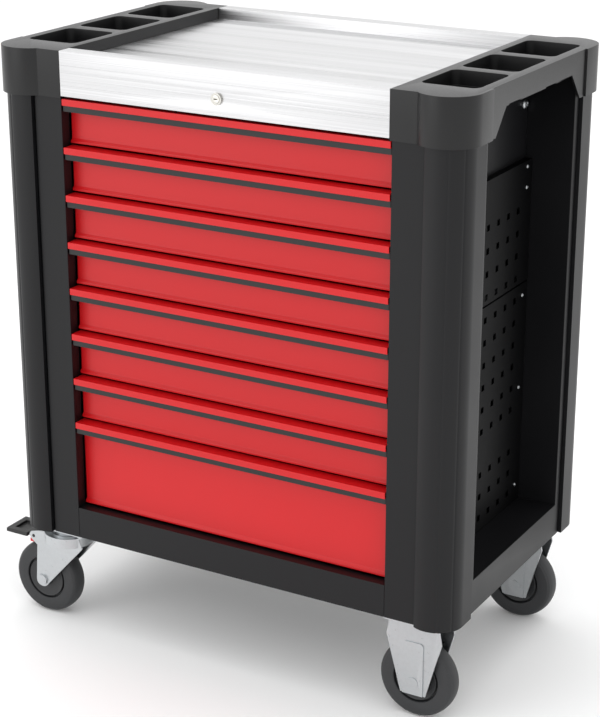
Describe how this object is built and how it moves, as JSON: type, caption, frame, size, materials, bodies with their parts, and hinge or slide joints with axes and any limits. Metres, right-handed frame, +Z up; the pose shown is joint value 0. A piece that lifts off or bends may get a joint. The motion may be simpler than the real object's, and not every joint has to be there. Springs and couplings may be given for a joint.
{
  "type": "rolling tool chest",
  "caption": "Wheeled steel workshop cabinet with pull-out drawers, a sunk steel worktop between moulded trays, perforated side recesses and braked swivel casters.",
  "frame": {"origin": "on the floor, under the middle of the whole chest, pedals included", "axes": "+Z up; the drawers open towards -Y; +X to the right of a person who faces the drawers, towards the fixed casters"},
  "size_m": [0.8412, 0.5042, 0.9665],
  "materials": {
    "body_enamel": "fine-textured anthracite powder coat",
    "panel_enamel": "black powder coat",
    "drawer_front_enamel": "satin red powder coat",
    "grip_plastic": "moulded black plastic",
    "drawer_box_steel": "dark powder coat",
    "runner_zinc": "zinc-plated steel",
    "stainless_steel": "stainless steel brushed from side to side",
    "tray_plastic": "fine-grained anthracite plastic",
    "lock_chrome": "nickel-plated",
    "caster_zinc": "bright zinc-plated pressed steel",
    "pedal_plastic": "glass-filled black plastic",
    "wheel_rubber": "dark grey elastic rubber on a black hub"
  },
  "bodies": {
    "cabinet": {"floor_pan": "body_enamel", "front_frame": "body_enamel", "side_frames": "body_enamel", "side_walls": "body_enamel", "back_wall": "body_enamel", "post_front_left": "body_enamel", "post_front_right": "body_enamel", "post_rear_left": "body_enamel", "post_rear_right": "body_enamel", "worktop": "stainless_steel", "tray_left": "tray_plastic", "tray_right": "tray_plastic", "pegboards": "panel_enamel", "cabinet_runners": "runner_zinc", "lock_barrel": "lock_chrome", "swivel_plates": "caster_zinc", "fixed_forks": "caster_zinc"},
    "drawer_1": {"drawer_1_front": "drawer_front_enamel", "drawer_1_grip": "grip_plastic", "drawer_1_box": "drawer_box_steel"},
    "runner_1": {"drawer_1_runner": "runner_zinc"},
    "drawer_2": {"drawer_2_front": "drawer_front_enamel", "drawer_2_grip": "grip_plastic", "drawer_2_box": "drawer_box_steel"},
    "runner_2": {"drawer_2_runner": "runner_zinc"},
    "drawer_3": {"drawer_3_front": "drawer_front_enamel", "drawer_3_grip": "grip_plastic", "drawer_3_box": "drawer_box_steel"},
    "runner_3": {"drawer_3_runner": "runner_zinc"},
    "drawer_4": {"drawer_4_front": "drawer_front_enamel", "drawer_4_grip": "grip_plastic", "drawer_4_box": "drawer_box_steel"},
    "runner_4": {"drawer_4_runner": "runner_zinc"},
    "drawer_5": {"drawer_5_front": "drawer_front_enamel", "drawer_5_grip": "grip_plastic", "drawer_5_box": "drawer_box_steel"},
    "runner_5": {"drawer_5_runner": "runner_zinc"},
    "drawer_6": {"drawer_6_front": "drawer_front_enamel", "drawer_6_grip": "grip_plastic", "drawer_6_box": "drawer_box_steel"},
    "runner_6": {"drawer_6_runner": "runner_zinc"},
    "drawer_7": {"drawer_7_front": "drawer_front_enamel", "drawer_7_grip": "grip_plastic", "drawer_7_box": "drawer_box_steel"},
    "runner_7": {"drawer_7_runner": "runner_zinc"},
    "drawer_8": {"drawer_8_front": "drawer_front_enamel", "drawer_8_grip": "grip_plastic", "drawer_8_box": "drawer_box_steel"},
    "runner_8": {"drawer_8_runner": "runner_zinc"},
    "lock_plug": {"lock_plug": "lock_chrome"},
    "lock_bar": {"lock_bar": "runner_zinc", "lock_fingers": "runner_zinc"},
    "swivel_front": {"swivel_fork_front": "caster_zinc"},
    "swivel_rear": {"swivel_fork_rear": "caster_zinc"},
    "brake_front": {"brake_pedal_front": "pedal_plastic"},
    "brake_rear": {"brake_pedal_rear": "pedal_plastic"},
    "wheel_front_left": {"wheel_front_left": "wheel_rubber"},
    "wheel_front_right": {"wheel_front_right": "wheel_rubber"},
    "wheel_rear_left": {"wheel_rear_left": "wheel_rubber"},
    "wheel_rear_right": {"wheel_rear_right": "wheel_rubber"}
  },
  "joints": [
    {"name": "drawer_1_slide", "type": "slide", "parent": "cabinet", "child": "drawer_1", "axis": [0, -1, 0], "range_m": [0, 0.4]},
    {"name": "runner_1_slide", "type": "slide", "parent": "cabinet", "child": "runner_1", "axis": [0, -1, 0], "range_m": [0, 0.2]},
    {"name": "drawer_2_slide", "type": "slide", "parent": "cabinet", "child": "drawer_2", "axis": [0, -1, 0], "range_m": [0, 0.4]},
    {"name": "runner_2_slide", "type": "slide", "parent": "cabinet", "child": "runner_2", "axis": [0, -1, 0], "range_m": [0, 0.2]},
    {"name": "drawer_3_slide", "type": "slide", "parent": "cabinet", "child": "drawer_3", "axis": [0, -1, 0], "range_m": [0, 0.4]},
    {"name": "runner_3_slide", "type": "slide", "parent": "cabinet", "child": "runner_3", "axis": [0, -1, 0], "range_m": [0, 0.2]},
    {"name": "drawer_4_slide", "type": "slide", "parent": "cabinet", "child": "drawer_4", "axis": [0, -1, 0], "range_m": [0, 0.4]},
    {"name": "runner_4_slide", "type": "slide", "parent": "cabinet", "child": "runner_4", "axis": [0, -1, 0], "range_m": [0, 0.2]},
    {"name": "drawer_5_slide", "type": "slide", "parent": "cabinet", "child": "drawer_5", "axis": [0, -1, 0], "range_m": [0, 0.4]},
    {"name": "runner_5_slide", "type": "slide", "parent": "cabinet", "child": "runner_5", "axis": [0, -1, 0], "range_m": [0, 0.2]},
    {"name": "drawer_6_slide", "type": "slide", "parent": "cabinet", "child": "drawer_6", "axis": [0, -1, 0], "range_m": [0, 0.4]},
    {"name": "runner_6_slide", "type": "slide", "parent": "cabinet", "child": "runner_6", "axis": [0, -1, 0], "range_m": [0, 0.2]},
    {"name": "drawer_7_slide", "type": "slide", "parent": "cabinet", "child": "drawer_7", "axis": [0, -1, 0], "range_m": [0, 0.4]},
    {"name": "runner_7_slide", "type": "slide", "parent": "cabinet", "child": "runner_7", "axis": [0, -1, 0], "range_m": [0, 0.2]},
    {"name": "drawer_8_slide", "type": "slide", "parent": "cabinet", "child": "drawer_8", "axis": [0, -1, 0], "range_m": [0, 0.4]},
    {"name": "runner_8_slide", "type": "slide", "parent": "cabinet", "child": "runner_8", "axis": [0, -1, 0], "range_m": [0, 0.2]},
    {"name": "lock_turn", "type": "hinge", "parent": "cabinet", "child": "lock_plug", "pos_m": [0.0189, -0.23875, 0.9228], "axis": [0, 1, 0], "range_deg": [0, 90]},
    {"name": "lock_bar_drop", "type": "slide", "parent": "cabinet", "child": "lock_bar", "axis": [0, 0, -1], "range_m": [0, 0.01131]},
    {"name": "swivel_front_turn", "type": "hinge", "parent": "cabinet", "child": "swivel_front", "pos_m": [-0.3076, -0.20175, 0.155], "axis": [0, 0, 1], "continuous": true},
    {"name": "brake_front_press", "type": "hinge", "parent": "swivel_front", "child": "brake_front", "pos_m": [-0.3656, -0.20175, 0.14], "axis": [0, -1, 0], "range_deg": [0, 15]},
    {"name": "wheel_front_left_roll", "type": "hinge", "parent": "swivel_front", "child": "wheel_front_left", "pos_m": [-0.3506, -0.20175, 0.0625], "axis": [0, 1, 0], "continuous": true},
    {"name": "wheel_front_right_roll", "type": "hinge", "parent": "cabinet", "child": "wheel_front_right", "pos_m": [0.3454, -0.20175, 0.0625], "axis": [0, 1, 0], "continuous": true},
    {"name": "swivel_rear_turn", "type": "hinge", "parent": "cabinet", "child": "swivel_rear", "pos_m": [-0.3076, 0.17575, 0.155], "axis": [0, 0, 1], "continuous": true},
    {"name": "brake_rear_press", "type": "hinge", "parent": "swivel_rear", "child": "brake_rear", "pos_m": [-0.3656, 0.17575, 0.14], "axis": [0, -1, 0], "range_deg": [0, 15]},
    {"name": "wheel_rear_left_roll", "type": "hinge", "parent": "swivel_rear", "child": "wheel_rear_left", "pos_m": [-0.3506, 0.17575, 0.0625], "axis": [0, 1, 0], "continuous": true},
    {"name": "wheel_rear_right_roll", "type": "hinge", "parent": "cabinet", "child": "wheel_rear_right", "pos_m": [0.3454, 0.17575, 0.0625], "axis": [0, 1, 0], "continuous": true}
  ],
  "couplings": [
    {"joint": "runner_1_slide", "follows": "drawer_1_slide", "ratio": 0.5},
    {"joint": "runner_2_slide", "follows": "drawer_2_slide", "ratio": 0.5},
    {"joint": "runner_3_slide", "follows": "drawer_3_slide", "ratio": 0.5},
    {"joint": "runner_4_slide", "follows": "drawer_4_slide", "ratio": 0.5},
    {"joint": "runner_5_slide", "follows": "drawer_5_slide", "ratio": 0.5},
    {"joint": "runner_6_slide", "follows": "drawer_6_slide", "ratio": 0.5},
    {"joint": "runner_7_slide", "follows": "drawer_7_slide", "ratio": 0.5},
    {"joint": "runner_8_slide", "follows": "drawer_8_slide", "ratio": 0.5},
    {"joint": "lock_turn", "follows": "lock_bar_drop", "rad_per_m": 138.84}
  ]
}
